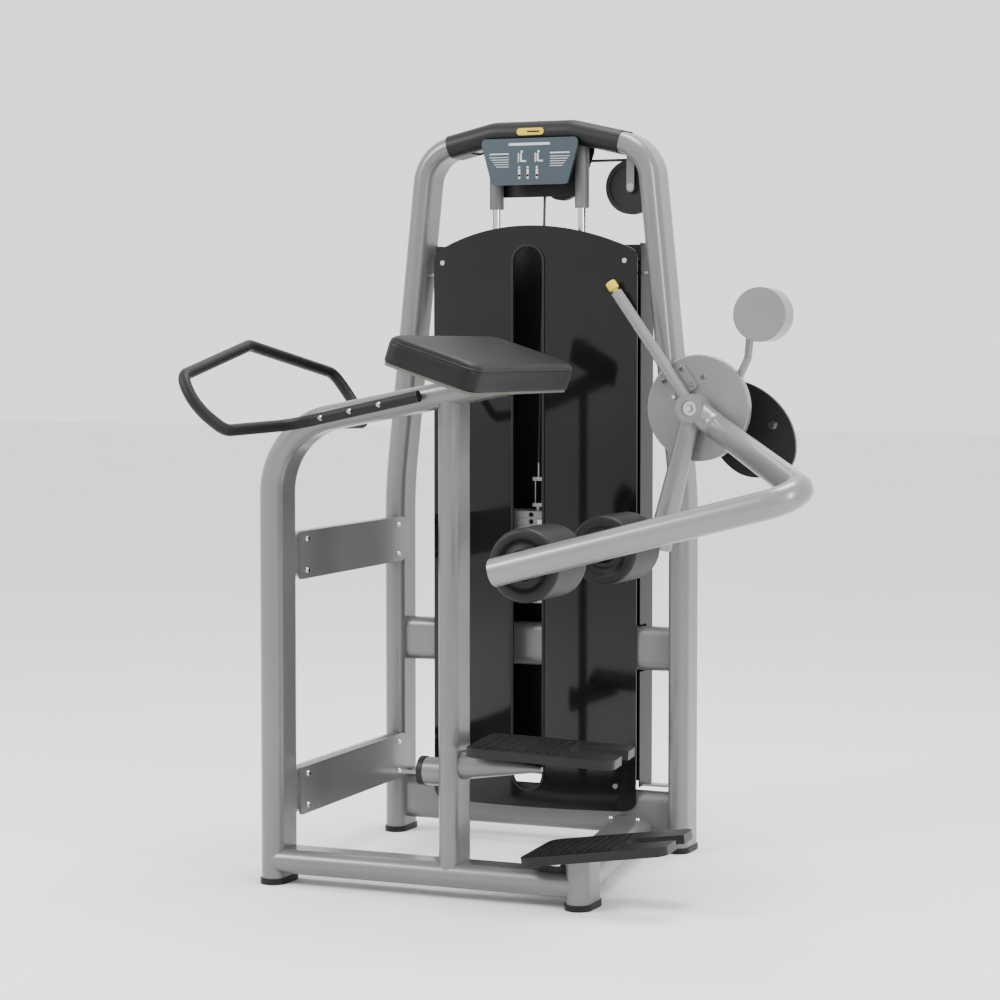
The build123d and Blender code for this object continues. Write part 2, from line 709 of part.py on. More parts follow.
with BuildPart() as range_lever:
    lever_plane = Plane(origin=on_lever(0, lever_offset, lever_y), x_dir=(0, 1, 0), z_dir=lever_out)
    extrude(disc_face(lever_plane, lever_radius), amount=lever_length)
    # bracket plate between the lever and the disc
    with BuildSketch(Plane(origin=on_lever(68.0, -4.0, disc_front), x_dir=lever_out, z_dir=(0, -1, 0))):
        RectangleRounded(64.0, 66.0, 8.0)
    extrude(amount=disc_front - plate_front)
    extrude(disc_face(lever_plane, lever_bore), amount=lever_length, mode=Mode.SUBTRACT)
    add(hub_space.part, mode=Mode.SUBTRACT)
range_lever.part.label = "range_lever"
export_step(range_lever.part, "parts/range_lever.step")

button_travel = 6.0
button_stem = 60.0
with BuildPart() as release_button:
    button_plane = Plane(
        origin=on_lever(lever_length + button_travel + 0.5, lever_offset, lever_y),
        x_dir=(0, 1, 0),
        z_dir=lever_out,
    )
    extrude(disc_face(button_plane, 11.5), amount=20.0)
    fillet(release_button.edges(), radius=3.0)
    extrude(disc_face(button_plane, lever_bore - running_gap), amount=-button_stem)
release_button.part.label = "release_button"
export_step(release_button.part, "parts/release_button.step")

bolt_places = [(88.0, 20.0), (88.0, -28.0), (48.0, 20.0), (48.0, -28.0)]
with BuildPart() as disc_bolts:
    for along, across in bolt_places:
        extrude(disc_face(domed(*on_lever(along, across, plate_front)), 6.0), amount=3.5, taper=25.0)
    extrude(disc_face(domed(pivot_x + 12.0, disc_front, pivot_z + 67.0), 6.0), amount=3.5, taper=25.0)
disc_bolts.part.label = "disc_bolts"
export_step(disc_bolts.part, "parts/disc_bolts.step")

arm_points = [
    (pivot_x, arm_y, pivot_z),
    (tower_x + 465.0, tower_y - 135.0, 931.0),
    (elbow_x, bar_y, elbow_z),
    (bar_end_x, bar_y, elbow_z - bar_slope * (elbow_x - bar_end_x)),
]
arm_start = Plane(
    origin=arm_points[0],
    x_dir=(0, 1, 0),
    z_dir=Vector(*arm_points[1]) - Vector(*arm_points[0]),
)
with BuildLine() as arm_path:
    FilletPolyline(*arm_points, radius=[45.0, 50.0])

with BuildPart() as arm_tube_space:
    sweep(sections=disc_face(arm_start, arm_radius), path=arm_path.wires()[0])

with BuildPart() as arm_tube:
    sweep(sections=disc_face(arm_start, arm_radius, arm_radius - tube_wall), path=arm_path.wires()[0])
    # closed free end
    cap = Plane(origin=arm_path.line @ 1, x_dir=(0, 1, 0), z_dir=arm_path.line % 1)
    extrude(disc_face(cap, arm_radius), amount=tube_wall)
    add(hub_space.part, mode=Mode.SUBTRACT)
    extrude(
        disc_face(facing(axle_x, bar_y - 20.0, axle_z), roller_axle_radius),
        amount=60.0,
        mode=Mode.SUBTRACT,
    )
arm_tube.part.label = "arm_tube"
export_step(arm_tube.part, "parts/arm_tube.step")

far_reach = hypot(axle_x - pivot_x, axle_z - pivot_z)
far_plane = Plane(
    origin=(pivot_x, arm_y, pivot_z),
    x_dir=(0, 1, 0),
    z_dir=(axle_x - pivot_x, 0, axle_z - pivot_z),
)
with BuildPart() as far_lever:
    with BuildSketch(far_plane):
        Circle(20.0)
    with BuildSketch(far_plane.offset(far_reach + 20.0)):
        Circle(arm_radius)
    loft()
    add(hub_space.part, mode=Mode.SUBTRACT)
    add(arm_tube_space.part, mode=Mode.SUBTRACT)
    extrude(
        disc_face(facing(axle_x, arm_y - 40.0, axle_z), roller_axle_radius),
        amount=40.0,
        mode=Mode.SUBTRACT,
    )
far_lever.part.label = "far_lever"
export_step(far_lever.part, "parts/far_lever.step")

collar_width = 6.0
collar_gap = 1.0
axle_front = bar_y - 20.0
with BuildPart() as roller_axle:
    extrude(disc_face(facing(axle_x, axle_front, axle_z), roller_axle_radius), amount=arm_y - axle_front)
    for start_y in (near_roller_y, far_roller_y):
        for y in (start_y - collar_gap - collar_width, start_y + roller_length + collar_gap):
            extrude(disc_face(facing(axle_x, y, axle_z), 18.0), amount=collar_width)
    add(arm_tube.part, mode=Mode.SUBTRACT)
roller_axle.part.label = "roller_axle"
export_step(roller_axle.part, "parts/roller_axle.step")

with BuildPart() as near_roller:
    section = disc_face(facing(axle_x, near_roller_y, axle_z), roller_radius)
    extrude(section, amount=roller_length)
    fillet(near_roller.edges(), radius=7.0)
    section = disc_face(facing(axle_x, near_roller_y, axle_z), roller_axle_radius + running_gap)
    extrude(section, amount=roller_length, mode=Mode.SUBTRACT)
near_roller.part.label = "near_roller"
export_step(near_roller.part, "parts/near_roller.step")

with BuildPart() as far_roller:
    section = disc_face(facing(axle_x, far_roller_y, axle_z), roller_radius)
    extrude(section, amount=roller_length)
    fillet(far_roller.edges(), radius=7.0)
    section = disc_face(facing(axle_x, far_roller_y, axle_z), roller_axle_radius + running_gap)
    extrude(section, amount=roller_length, mode=Mode.SUBTRACT)
far_roller.part.label = "far_roller"
export_step(far_roller.part, "parts/far_roller.step")

weight_rod_radius = 8.5
with BuildPart() as counterweight:
    with BuildLine() as weight_path:
        FilletPolyline(
            (pivot_x + 25.0, tower_y - 84.0, pivot_z + 15.0),
            (tower_x + 480.0, tower_y - 65.5, 1022.0),
            (tower_x + 509.0, tower_y - 70.0, 1080.0),
            (tower_x + 522.0, tower_y - 96.0, 1132.0),
            radius=[18.0, 18.0],
        )
    weight_plane = Plane(origin=weight_path.line @ 0, x_dir=(0, 1, 0), z_dir=weight_path.line % 0)
    sweep(sections=disc_face(weight_plane, weight_rod_radius), path=weight_path.wires()[0])
    add(hub_space.part, mode=Mode.SUBTRACT)
    add(range_disc.part, mode=Mode.SUBTRACT)
    extrude(disc_face(facing(weight_x, tower_y - 125.0, weight_z), weight_radius), amount=weight_length)
counterweight.part.label = "counterweight"
export_step(counterweight.part, "parts/counterweight.step")

# ================================================================ shrouds
shroud_wall = 3.0
shroud_half = 243.0
shroud_side_y = tower_y - 30.0
shroud_mid_y = tower_y - 65.0
shroud_bottom = 83.0
shroud_side_top = 1312.0
shroud_peak = 1370.0
shroud_slot_z = 724.0
shroud_slot_long = 1210.0
shroud_slot_wide = 79.0


shroud_round = (shroud_half ** 2 + (shroud_side_y - shroud_mid_y) ** 2) / (2 * (shroud_side_y - shroud_mid_y))


def shroud_front(across):
    """Y of the front shroud's outer face at a distance from the tower's middle."""
    return shroud_mid_y + shroud_round - (shroud_round ** 2 - across ** 2) ** 0.5


def slot_prism(wide, long):
    """Upright rounded slot in the middle of the tower's front, as a face looking to the front."""
    with BuildSketch(front(tower_y)) as section:
        with Locations((tower_x, shroud_slot_z)):
            RectangleRounded(wide, long, wide / 2 - 0.5)
    return section.sketch


with BuildPart() as front_shroud:
    with BuildSketch(front(tower_y)) as shroud_outline:
        with BuildLine():
            Polyline(
                (tower_x - shroud_half, shroud_side_top),
                (tower_x - shroud_half, shroud_bottom),
                (tower_x + shroud_half, shroud_bottom),
                (tower_x + shroud_half, shroud_side_top),
            )
            ThreePointArc(
                (tower_x + shroud_half, shroud_side_top),
                (tower_x, shroud_peak),
                (tower_x - shroud_half, shroud_side_top),
            )
        make_face()
        fillet(shroud_outline.vertices(), radius=24.0)
    extrude(amount=100.0)
    extrude(slot_prism(shroud_slot_wide, shroud_slot_long), amount=100.0, mode=Mode.SUBTRACT)
    with BuildSketch():
        with Locations((tower_x, shroud_mid_y + shroud_round)):
            Circle(shroud_round)
            Circle(shroud_round - shroud_wall, mode=Mode.SUBTRACT)
    extrude(amount=total_height, mode=Mode.INTERSECT)
front_shroud.part.label = "front_shroud"
export_step(front_shroud.part, "parts/front_shroud.step")

trim_wall = 5.0
with BuildPart() as slot_trim:
    extrude(slot_prism(shroud_slot_wide, shroud_slot_long), amount=67.5)
    extrude(slot_prism(shroud_slot_wide - 2 * trim_wall, shroud_slot_long - 2 * trim_wall), amount=67.5,
            mode=Mode.SUBTRACT)
    with Locations((tower_x, tower_y - 29.75, shroud_slot_z)):
        Box(2 * shroud_slot_wide, 59.5, 2 * shroud_slot_long, mode=Mode.SUBTRACT)
slot_trim.part.label = "slot_trim"
export_step(slot_trim.part, "parts/slot_trim.step")

rear_wall = 2.5
rear_half = 246.0
rear_front_y = tower_y - 14.0
rear_back_y = tower_y + 74.0
rear_deep = rear_back_y - rear_front_y
rear_round = 10.0
rear_bottom = 135.0
rear_top = 1330.0
with BuildPart() as rear_shroud:
    with BuildSketch(Plane.XY.offset(rear_bottom)):
        with Locations((tower_x, rear_front_y)):
            RectangleRounded(2 * rear_half, 2 * rear_deep, rear_round)
            RectangleRounded(
                2 * (rear_half - rear_wall),
                2 * (rear_deep - rear_wall),
                rear_round - rear_wall,
                mode=Mode.SUBTRACT,
            )
        with Locations((tower_x, rear_front_y - rear_deep)):
            Rectangle(3 * rear_half, 2 * rear_deep, mode=Mode.SUBTRACT)
    extrude(amount=rear_top - rear_bottom)
    with Locations((tower_x, tower_y - 20.0 + 23.0, middle_tube_z)):
        Box(3 * rear_half, 46.0, tube_wide + 6.0, mode=Mode.SUBTRACT)
rear_shroud.part.label = "rear_shroud"
export_step(rear_shroud.part, "parts/rear_shroud.step")

screw_places = [(-217.0, 1291.0), (217.0, 1291.0), (-200.0, 139.0), (200.0, 139.0)]
standoff_radius = 6.0
tab_zs = (140.0, 1265.0)
with BuildPart() as shroud_standoffs:
    for x, z in screw_places:
        low_y = shroud_front(abs(x) + standoff_radius) + 1.0
        extrude(disc_face(facing(tower_x + x, low_y, z), standoff_radius), amount=rear_back_y - rear_wall - low_y)
    for z in tab_zs:
        for side in (-1, 1):
            tab_length = leg_centre(z) - rear_half
            with Locations((tower_x + side * (rear_half + tab_length / 2), tower_y + 4.0, z)):
                Box(tab_length, 24.0, 5.0)
    add(arch_space.part, mode=Mode.SUBTRACT)
    add(front_shroud.part, mode=Mode.SUBTRACT)
shroud_standoffs.part.label = "shroud_standoffs"
export_step(shroud_standoffs.part, "parts/shroud_standoffs.step")

# ================================================================ user frame
pad_up = (sin(radians(pad_tilt)), 0, cos(radians(pad_tilt)))
pad_plane = Plane(
    origin=(pad_x, user_y, pad_z),
    x_dir=(cos(radians(pad_tilt)), 0, -sin(radians(pad_tilt))),
    z_dir=pad_up,
)
board_low = pad_thick / 2 + board_thick
plate_low_side = board_low + 5.0
arm_rise = tan(radians(arm_slope))
arm_end_x = tower_x + 290.0

with BuildLine() as post_path:
    FilletPolyline(
        (post_x, user_y, foot_floor),
        (post_x, user_y, arm_start_z),
        (arm_end_x, user_y, arm_start_z + arm_rise * (arm_end_x - post_x)),
        radius=arm_bend,
    )

with BuildPart() as post_space:
    sweep(sections=flat_oval(upright(post_x, user_y, foot_floor), tube_wide, front_thick), path=post_path.wires()[0])

with BuildPart() as front_post_arm:
    section = flat_oval(upright(post_x, user_y, foot_floor), tube_wide, front_thick, tube_wall)
    sweep(sections=section, path=post_path.wires()[0])
    # end of the arm cut along the underside of the pad's plate
    with BuildSketch(pad_plane.offset(-plate_low_side)):
        Rectangle(600.0, 200.0)
    extrude(amount=300.0, mode=Mode.SUBTRACT)
front_post_arm.part.label = "front_post_arm"
export_step(front_post_arm.part, "parts/front_post_arm.step")

beam_top = beam_z + front_thick / 2
with BuildPart() as centre_post_space:
    centre_foot = upright(centre_post_x, user_y, beam_z)
    extrude(flat_oval(centre_foot, centre_post_wide, centre_post_thick), amount=1007.0 - beam_z)

with BuildPart() as beam_space:
    beam_start = Plane(origin=(post_x, user_y, beam_z), x_dir=(0, 1, 0), z_dir=(1, 0, 0))
    extrude(flat_oval(beam_start, tube_wide, front_thick), amount=stub_x - post_x)

with BuildPart() as stub_space:
    extrude(flat_oval(upright(stub_x, user_y, foot_floor), tube_wide, front_thick), amount=200.0)

lower_step_rise = 7.8
lower_step_turn = 4.0
lower_step_corner = (tower_x + 262.0, tower_y - 740.0, 88.0)
upper_step_drop = 3.0
upper_step_turn = 8.0
upper_step_corner = (tower_x + 146.0, tower_y - 743.0, 299.0)


def step_plane(corner, rise, turn):
    """Underside of a foot plate: X along its length, Y away from its near edge."""
    turned = radians(turn)
    tilted = radians(rise)
    along = (cos(turned) * cos(tilted), sin(turned) * cos(tilted), sin(tilted))
    across = (-sin(turned), cos(turned), 0)
    return Plane(origin=corner, x_dir=along, z_dir=Vector(*along).cross(Vector(*across)))


lower_plane = step_plane(lower_step_corner, lower_step_rise, lower_step_turn)
upper_plane = step_plane(upper_step_corner, -upper_step_drop, upper_step_turn)

with BuildPart() as centre_post:
    section = flat_oval(centre_foot, centre_post_wide, centre_post_thick, tube_wall)
    extrude(section, amount=1007.0 - beam_z)
    add(post_space.part, mode=Mode.SUBTRACT)
    add(beam_space.part, mode=Mode.SUBTRACT)
centre_post.part.label = "centre_post"
export_step(centre_post.part, "parts/centre_post.step")

with BuildPart() as base_beam:
    extrude(flat_oval(beam_start, tube_wide, front_thick, tube_wall), amount=stub_x - post_x)
    add(stub_space.part, mode=Mode.SUBTRACT)
    stub_foot = upright(stub_x, user_y, foot_floor)
    extrude(flat_oval(stub_foot, tube_wide, front_thick, tube_wall), amount=200.0)
    # stub cut along the underside of the lower foot plate
    with BuildSketch(lower_plane):
        with Locations((stub_x - lower_step_corner[0], step_width / 2)):
            Rectangle(3 * front_thick, step_width)
    extrude(amount=400.0, mode=Mode.SUBTRACT)
    add(post_space.part, mode=Mode.SUBTRACT)
base_beam.part.label = "base_beam"
export_step(base_beam.part, "parts/base_beam.step")

brace_dir = Vector(tower_x - leg_x - post_x, tower_y - user_y, 0)
with BuildPart() as side_braces:
    for z in brace_zs:
        brace_start = Plane(origin=(post_x, user_y, z), x_dir=(0, 0, 1), z_dir=brace_dir)
        extrude(flat_oval(brace_start, tube_wide, tube_thick, tube_wall), amount=brace_dir.length)
    add(post_space.part, mode=Mode.SUBTRACT)
    add(arch_space.part, mode=Mode.SUBTRACT)
side_braces.part.label = "side_braces"
export_step(side_braces.part, "parts/side_braces.step")

# pillow plates on the inner side of the braces
cover_long = 586.0
cover_tall = 100.0
cover_thick = 4.0
cover_shift = 18.0          # from the middle of the brace towards the tower
brace_side = (brace_dir.Y / brace_dir.length, -brace_dir.X / brace_dir.length, 0)
with BuildPart() as brace_covers:
    for z in brace_zs:
        middle = Vector(post_x, user_y, z) + brace_dir * 0.5
        skin = Plane(origin=middle, x_dir=brace_dir, z_dir=brace_side).offset(tube_thick / 2)
        with BuildSketch(skin):
            with Locations((cover_shift, 0)):
                SlotOverall(cover_long, cover_tall)
            with Locations((cover_shift - cover_long / 4, 0)):
                RectangleRounded(cover_long / 2, cover_tall, 8.0)
        extrude(amount=cover_thick)
    add(post_space.part, mode=Mode.SUBTRACT)
    add(arch_space.part, mode=Mode.SUBTRACT)
brace_covers.part.label = "brace_covers"
export_step(brace_covers.part, "parts/brace_covers.step")

base_brace_x = stub_x - (tube_wide - front_thick) / 2
base_brace_dir = Vector(tower_x + 230.0 - base_brace_x, tower_y - user_y - 20.0, 0)
base_brace_start = Plane(
    origin=(base_brace_x, user_y, beam_z),
    x_dir=Vector(base_brace_dir.Y, -base_brace_dir.X, 0),
    z_dir=base_brace_dir,
)
with BuildPart() as cross_tube_space:
    extrude(flat_oval(cross_start(lower_tube_z), tube_wide, tube_thick), amount=2 * leg_inner)

with BuildPart() as right_base_brace:
    extrude(flat_oval(base_brace_start, tube_wide, front_thick, tube_wall), amount=base_brace_dir.length)
    add(beam_space.part, mode=Mode.SUBTRACT)
    add(stub_space.part, mode=Mode.SUBTRACT)
    add(cross_tube_space.part, mode=Mode.SUBTRACT)
right_base_brace.part.label = "right_base_brace"
export_step(right_base_brace.part, "parts/right_base_brace.step")

# ================================================================ handle loop
near_side = [
    (tower_x + 31.0, 61.2, 1005.0),
    (tower_x - 247.0, 61.2, 946.0),
    (tower_x - 267.0, 306.0, 940.0),
    (tower_x - 315.0, 344.0, 990.0),
    (tower_x - 350.0, 325.0, 1046.0),
]
apex = (tower_x - 379.0, user_y, 1106.0)
grip_points = [(x, user_y - y, z) for x, y, z in near_side] + [apex]
grip_points += [(x, user_y + y, z) for x, y, z in reversed(near_side)]
grip_radii = [60.0, 35.0, 100.0, 35.0, 30.0, 35.0, 100.0, 35.0, 60.0]
grip_wall = 2.5
grip_screw_xs = (tower_x - 180.0, tower_x - 115.0, tower_x - 50.0)
grip_rise = (near_side[0][2] - near_side[1][2]) / (near_side[0][0] - near_side[1][0])


def grip_height(x):
    """Height of the handle tube's centre beside the arm."""
    return near_side[0][2] + grip_rise * (x - near_side[0][0])


with BuildLine() as grip_path:
    FilletPolyline(*grip_points, radius=grip_radii)
grip_start = Plane(origin=grip_path.line @ 0, x_dir=(0, 1, 0), z_dir=grip_path.line % 0)
grip_end = Plane(origin=grip_path.line @ 1, x_dir=(0, 1, 0), z_dir=grip_path.line % 1)

with BuildPart() as grip_loop:
    sweep(sections=disc_face(grip_start, grip_radius, grip_radius - grip_wall), path=grip_path.wires()[0])
    # bosses that carry the tube off the arm's sides
    for x in grip_screw_xs:
        for side in (-1, 1):
            boss = Plane(
                origin=(x, user_y + side * (near_side[0][1] - grip_radius + grip_wall), grip_height(x)),
                x_dir=(1, 0, 0),
                z_dir=(0, -side, 0),
            )
            extrude(disc_face(boss, 7.0), amount=12.0)
    add(post_space.part, mode=Mode.SUBTRACT)
grip_loop.part.label = "grip_loop"
export_step(grip_loop.part, "parts/grip_loop.step")

plug_length = 14.0
plug_lip = 2.5
step_tube_radius = 28.5
step_tube_z = 250.0
cap_x = tower_x + 22.0
with BuildPart() as tube_plugs:
    for plane, inward in ((grip_start, 1), (grip_end, -1)):
        extrude(disc_face(plane, grip_radius - grip_wall), amount=inward * plug_length)
        extrude(disc_face(plane, grip_radius), amount=-inward * plug_lip)
    # cap on the short end of the upper foot plate's tube
    cap_plane = Plane(origin=(cap_x, user_y, step_tube_z), x_dir=(0, 1, 0), z_dir=(1, 0, 0))
    extrude(disc_face(cap_plane, step_tube_radius + 1.5), amount=-12.0)
tube_plugs.part.label = "tube_plugs"
export_step(tube_plugs.part, "parts/tube_plugs.step")

# ================================================================ pad
with BuildPart() as pad_mount_plate:
    with BuildSketch(pad_plane.offset(-plate_low_side)):
        RectangleRounded(150.0, 150.0, 10.0)
    extrude(amount=plate_low_side - board_low)
pad_mount_plate.part.label = "pad_mount_plate"
export_step(pad_mount_plate.part, "parts/pad_mount_plate.step")

with BuildPart() as pad_board:
    with BuildSketch(pad_plane.offset(-board_low)):
        RectangleRounded(pad_width - 8.0, pad_length - 8.0, 22.0)
    extrude(amount=board_thick)
pad_board.part.label = "pad_board"
export_step(pad_board.part, "parts/pad_board.step")

with BuildPart() as elbow_pad:
    with BuildSketch(pad_plane.offset(-pad_thick / 2)):
        RectangleRounded(pad_width, pad_length, 26.0)
    extrude(amount=pad_thick)
    fillet(elbow_pad.faces().sort_by(Axis.Z)[-1].edges(), radius=14.0)
elbow_pad.part.label = "elbow_pad"
export_step(elbow_pad.part, "parts/elbow_pad.step")

# ================================================================ foot plates
with BuildPart() as upper_step_bracket:
    stub_plane = Plane(origin=(cap_x, user_y, step_tube_z), x_dir=(0, 1, 0), z_dir=(1, 0, 0))
    extrude(disc_face(stub_plane, step_tube_radius), amount=centre_post_x - cap_x)
    taper_start = Plane(origin=(centre_post_x, user_y, 267.5), x_dir=(0, 1, 0), z_dir=(1, 0, 0))
    with BuildSketch(taper_start):
        Circle(33.0)
    with BuildSketch(taper_start.offset(tower_x + 252.0 - centre_post_x).move(Location((0, 0, 20.0)))):
        Circle(5.0)
    loft()
    with BuildSketch(upper_plane):
        Rectangle(1200.0, 900.0)
    extrude(amount=200.0, mode=Mode.SUBTRACT)
    add(centre_post_space.part, mode=Mode.SUBTRACT)
upper_step_bracket.part.label = "upper_step_bracket"
export_step(upper_step_bracket.part, "parts/upper_step_bracket.step")

notch_wide = 60.0
notch_deep = 90.0
rib_pitch = 20.0
rib_high = 2.0


def step_outline(plane):
    """Foot plate seen from above, with a notch between two rounded horns."""
    with BuildSketch(plane) as outline:
        with Locations((step_length / 2, step_width / 2)):
            RectangleRounded(step_length, step_width, 24.0)
        with Locations((step_length - notch_deep / 2, step_width / 2)):
            Rectangle(notch_deep, notch_wide, mode=Mode.SUBTRACT)
        with Locations((step_length - notch_deep, step_width / 2)):
            Circle(notch_wide / 2, mode=Mode.SUBTRACT)
    return outline.sketch


def rib_rows(plane):
    """Rows of grip ribs across a foot plate."""
    with BuildSketch(plane) as rows:
        for index in range(9):
            with Locations((24.0 + rib_pitch * index, step_width / 2)):
                RectangleRounded(8.0, step_width - 44.0, 3.5)
    return rows.sketch


with BuildPart() as upper_step:
    extrude(step_outline(upper_plane), amount=step_thick - rib_high)
    extrude(rib_rows(upper_plane.offset(step_thick - rib_high)), amount=rib_high)
    add(centre_post_space.part, mode=Mode.SUBTRACT)
upper_step.part.label = "upper_step"
export_step(upper_step.part, "parts/upper_step.step")

with BuildPart() as lower_step:
    extrude(step_outline(lower_plane), amount=step_thick - rib_high)
    extrude(rib_rows(lower_plane.offset(step_thick - rib_high)), amount=rib_high)
lower_step.part.label = "lower_step"
export_step(lower_step.part, "parts/lower_step.step")

# ================================================================ screws of the frame
head_radius = 6.5
head_high = 4.0
head_taper = 25.0
with BuildPart() as dome_screws:
    for x, z in screw_places:
        low_y = shroud_front(abs(x) + head_radius) - 0.6
        high_y = shroud_front(abs(x)) - head_high
        extrude(disc_face(domed(tower_x + x, low_y, z), head_radius), amount=low_y - high_y, taper=head_taper / 2)
    add(front_shroud.part, mode=Mode.SUBTRACT)
    # on the brace covers
    for z in brace_zs:
        middle = Vector(post_x, user_y, z) + brace_dir * 0.5
        skin = Plane(origin=middle, x_dir=brace_dir, z_dir=brace_side).offset(tube_thick / 2 + cover_thick)
        for along in (-238.0, 246.0):
            for up in (-33.0, 33.0):
                spot = Plane(origin=skin.from_local_coords((along, up, 0)), x_dir=brace_dir, z_dir=brace_side)
                extrude(disc_face(spot, head_radius), amount=head_high, taper=head_taper)
    # on the handle tube beside the arm
    for x in grip_screw_xs:
        for side in (-1, 1):
            spot = Plane(
                origin=(x, user_y + side * (near_side[0][1] + grip_radius - 1.0), grip_height(x)),
                x_dir=(1, 0, 0),
                z_dir=(0, side, 0),
            )
            extrude(disc_face(spot, head_radius - 1.0), amount=head_high, taper=head_taper)
    add(grip_loop.part, mode=Mode.SUBTRACT)
    # on top of the base brace
    for x in (198.0, 261.0):
        spot = Plane(origin=(tower_x + x, tower_y - 64.0, beam_top))
        extrude(disc_face(spot, head_radius), amount=head_high, taper=head_taper)
dome_screws.part.label = "dome_screws"
export_step(dome_screws.part, "parts/dome_screws.step")
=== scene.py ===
import json
import math

import bmesh
import bpy
from mathutils import Matrix, Vector


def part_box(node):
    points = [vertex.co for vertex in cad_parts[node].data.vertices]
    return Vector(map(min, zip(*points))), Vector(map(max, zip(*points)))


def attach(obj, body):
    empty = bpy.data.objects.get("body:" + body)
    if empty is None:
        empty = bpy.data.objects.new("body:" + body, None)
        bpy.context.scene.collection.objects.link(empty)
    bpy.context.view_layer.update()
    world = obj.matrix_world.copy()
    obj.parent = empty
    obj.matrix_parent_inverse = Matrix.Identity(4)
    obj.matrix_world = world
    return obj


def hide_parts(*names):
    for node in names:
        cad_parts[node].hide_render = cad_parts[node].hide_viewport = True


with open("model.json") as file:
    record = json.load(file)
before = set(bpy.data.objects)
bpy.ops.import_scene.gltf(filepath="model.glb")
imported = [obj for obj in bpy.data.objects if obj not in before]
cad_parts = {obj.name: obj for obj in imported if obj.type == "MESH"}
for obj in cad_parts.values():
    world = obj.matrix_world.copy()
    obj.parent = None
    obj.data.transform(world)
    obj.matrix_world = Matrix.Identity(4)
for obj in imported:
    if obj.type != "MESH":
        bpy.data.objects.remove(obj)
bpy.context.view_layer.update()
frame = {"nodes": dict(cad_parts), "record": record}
nodes = frame["nodes"]

# ---------------------------------------------------------------- sizes, in metres
# Foam rollers.
roller_bore = 0.01258
roller_edge = 0.011
roller_shy = 0.0003
roller_swell = 0.0004
edge_steps = 8
swell_steps = 12
flat_end = 0.004
# Radius and depth below the end: bore recess, raised hub ring, groove, and the foam's inner rim.
roller_end = ((roller_bore, 0.006), (0.024, 0.006), (0.0255, 0.0015), (0.034, 0.0008),
              (0.0355, 0.005), (0.047, 0.0055), (0.0495, 0.0006))

# Elbow pad.
pad_tilt = math.radians(18.0)
half_wide, half_long, half_thick = 0.101, 0.255, 0.029
pad_corner = 0.030
pad_roll = 0.017
pad_foot = 0.004
pad_crown = 0.003
side_pull = 0.0022
seam_depth = 0.0016
across, along = 22, 54

# Badge, placard print and plate labels.
badge_drop = 0.0245
ink_thick = 0.0003
plate_pitch = 0.0157
first_label_drop = 0.0076
label_wide, label_tall, label_radius = 0.014, 0.009, 0.002
label_shift = 0.022
label_count, lifted_count = 12, 3

# ---------------------------------------------------------------- materials


def material(name, dark, light, rough=(0.4, 0.5), metallic=0.0, grain=(60.0, 0.05), mottle=4.0,
             coat=0.0, coat_rough=0.1, specular=0.5, cells=None):
    """Procedural finish: a mottled colour, uneven roughness and a fine bump.

    Grain is the scale and the strength of the bump, and cells is the scale of a leather pattern.
    """
    mat = bpy.data.materials.new(name)
    mat.use_nodes = True
    tree = mat.node_tree
    add, link = tree.nodes.new, tree.links.new
    shader = tree.nodes["Principled BSDF"]
    shader.inputs["Metallic"].default_value = metallic
    shader.inputs["Coat Weight"].default_value = coat
    shader.inputs["Coat Roughness"].default_value = coat_rough
    shader.inputs["Specular IOR Level"].default_value = specular
    place = add("ShaderNodeTexCoord")
    patches = add("ShaderNodeTexNoise")
    patches.inputs["Scale"].default_value = mottle
    patches.inputs["Detail"].default_value = 6.0
    link(place.outputs["Object"], patches.inputs["Vector"])
    ramp = add("ShaderNodeValToRGB")
    ramp.color_ramp.elements[0].position = 0.3
    ramp.color_ramp.elements[1].position = 0.7
    ramp.color_ramp.elements[0].color = (*dark, 1.0)
    ramp.color_ramp.elements[1].color = (*light, 1.0)
    link(patches.outputs["Fac"], ramp.inputs["Fac"])
    link(ramp.outputs["Color"], shader.inputs["Base Color"])
    fine = add("ShaderNodeTexNoise")
    fine.inputs["Scale"].default_value = grain[0]
    fine.inputs["Detail"].default_value = 4.0
    link(place.outputs["Object"], fine.inputs["Vector"])
    spread = add("ShaderNodeMapRange")
    spread.inputs["To Min"].default_value = rough[0]
    spread.inputs["To Max"].default_value = rough[1]
    link(fine.outputs["Fac"], spread.inputs["Value"])
    link(spread.outputs["Result"], shader.inputs["Roughness"])
    bump = add("ShaderNodeBump")
    bump.inputs["Strength"].default_value = grain[1]
    bump.inputs["Distance"].default_value = 0.001
    if cells:
        leather = add("ShaderNodeTexVoronoi")
        leather.feature = "DISTANCE_TO_EDGE"
        leather.inputs["Scale"].default_value = cells
        link(place.outputs["Object"], leather.inputs["Vector"])
        link(leather.outputs["Distance"], bump.inputs["Height"])
    else:
        link(fine.outputs["Fac"], bump.inputs["Height"])
    link(bump.outputs["Normal"], shader.inputs["Normal"])
    return mat


def grey(level):
    return (level, level, level)


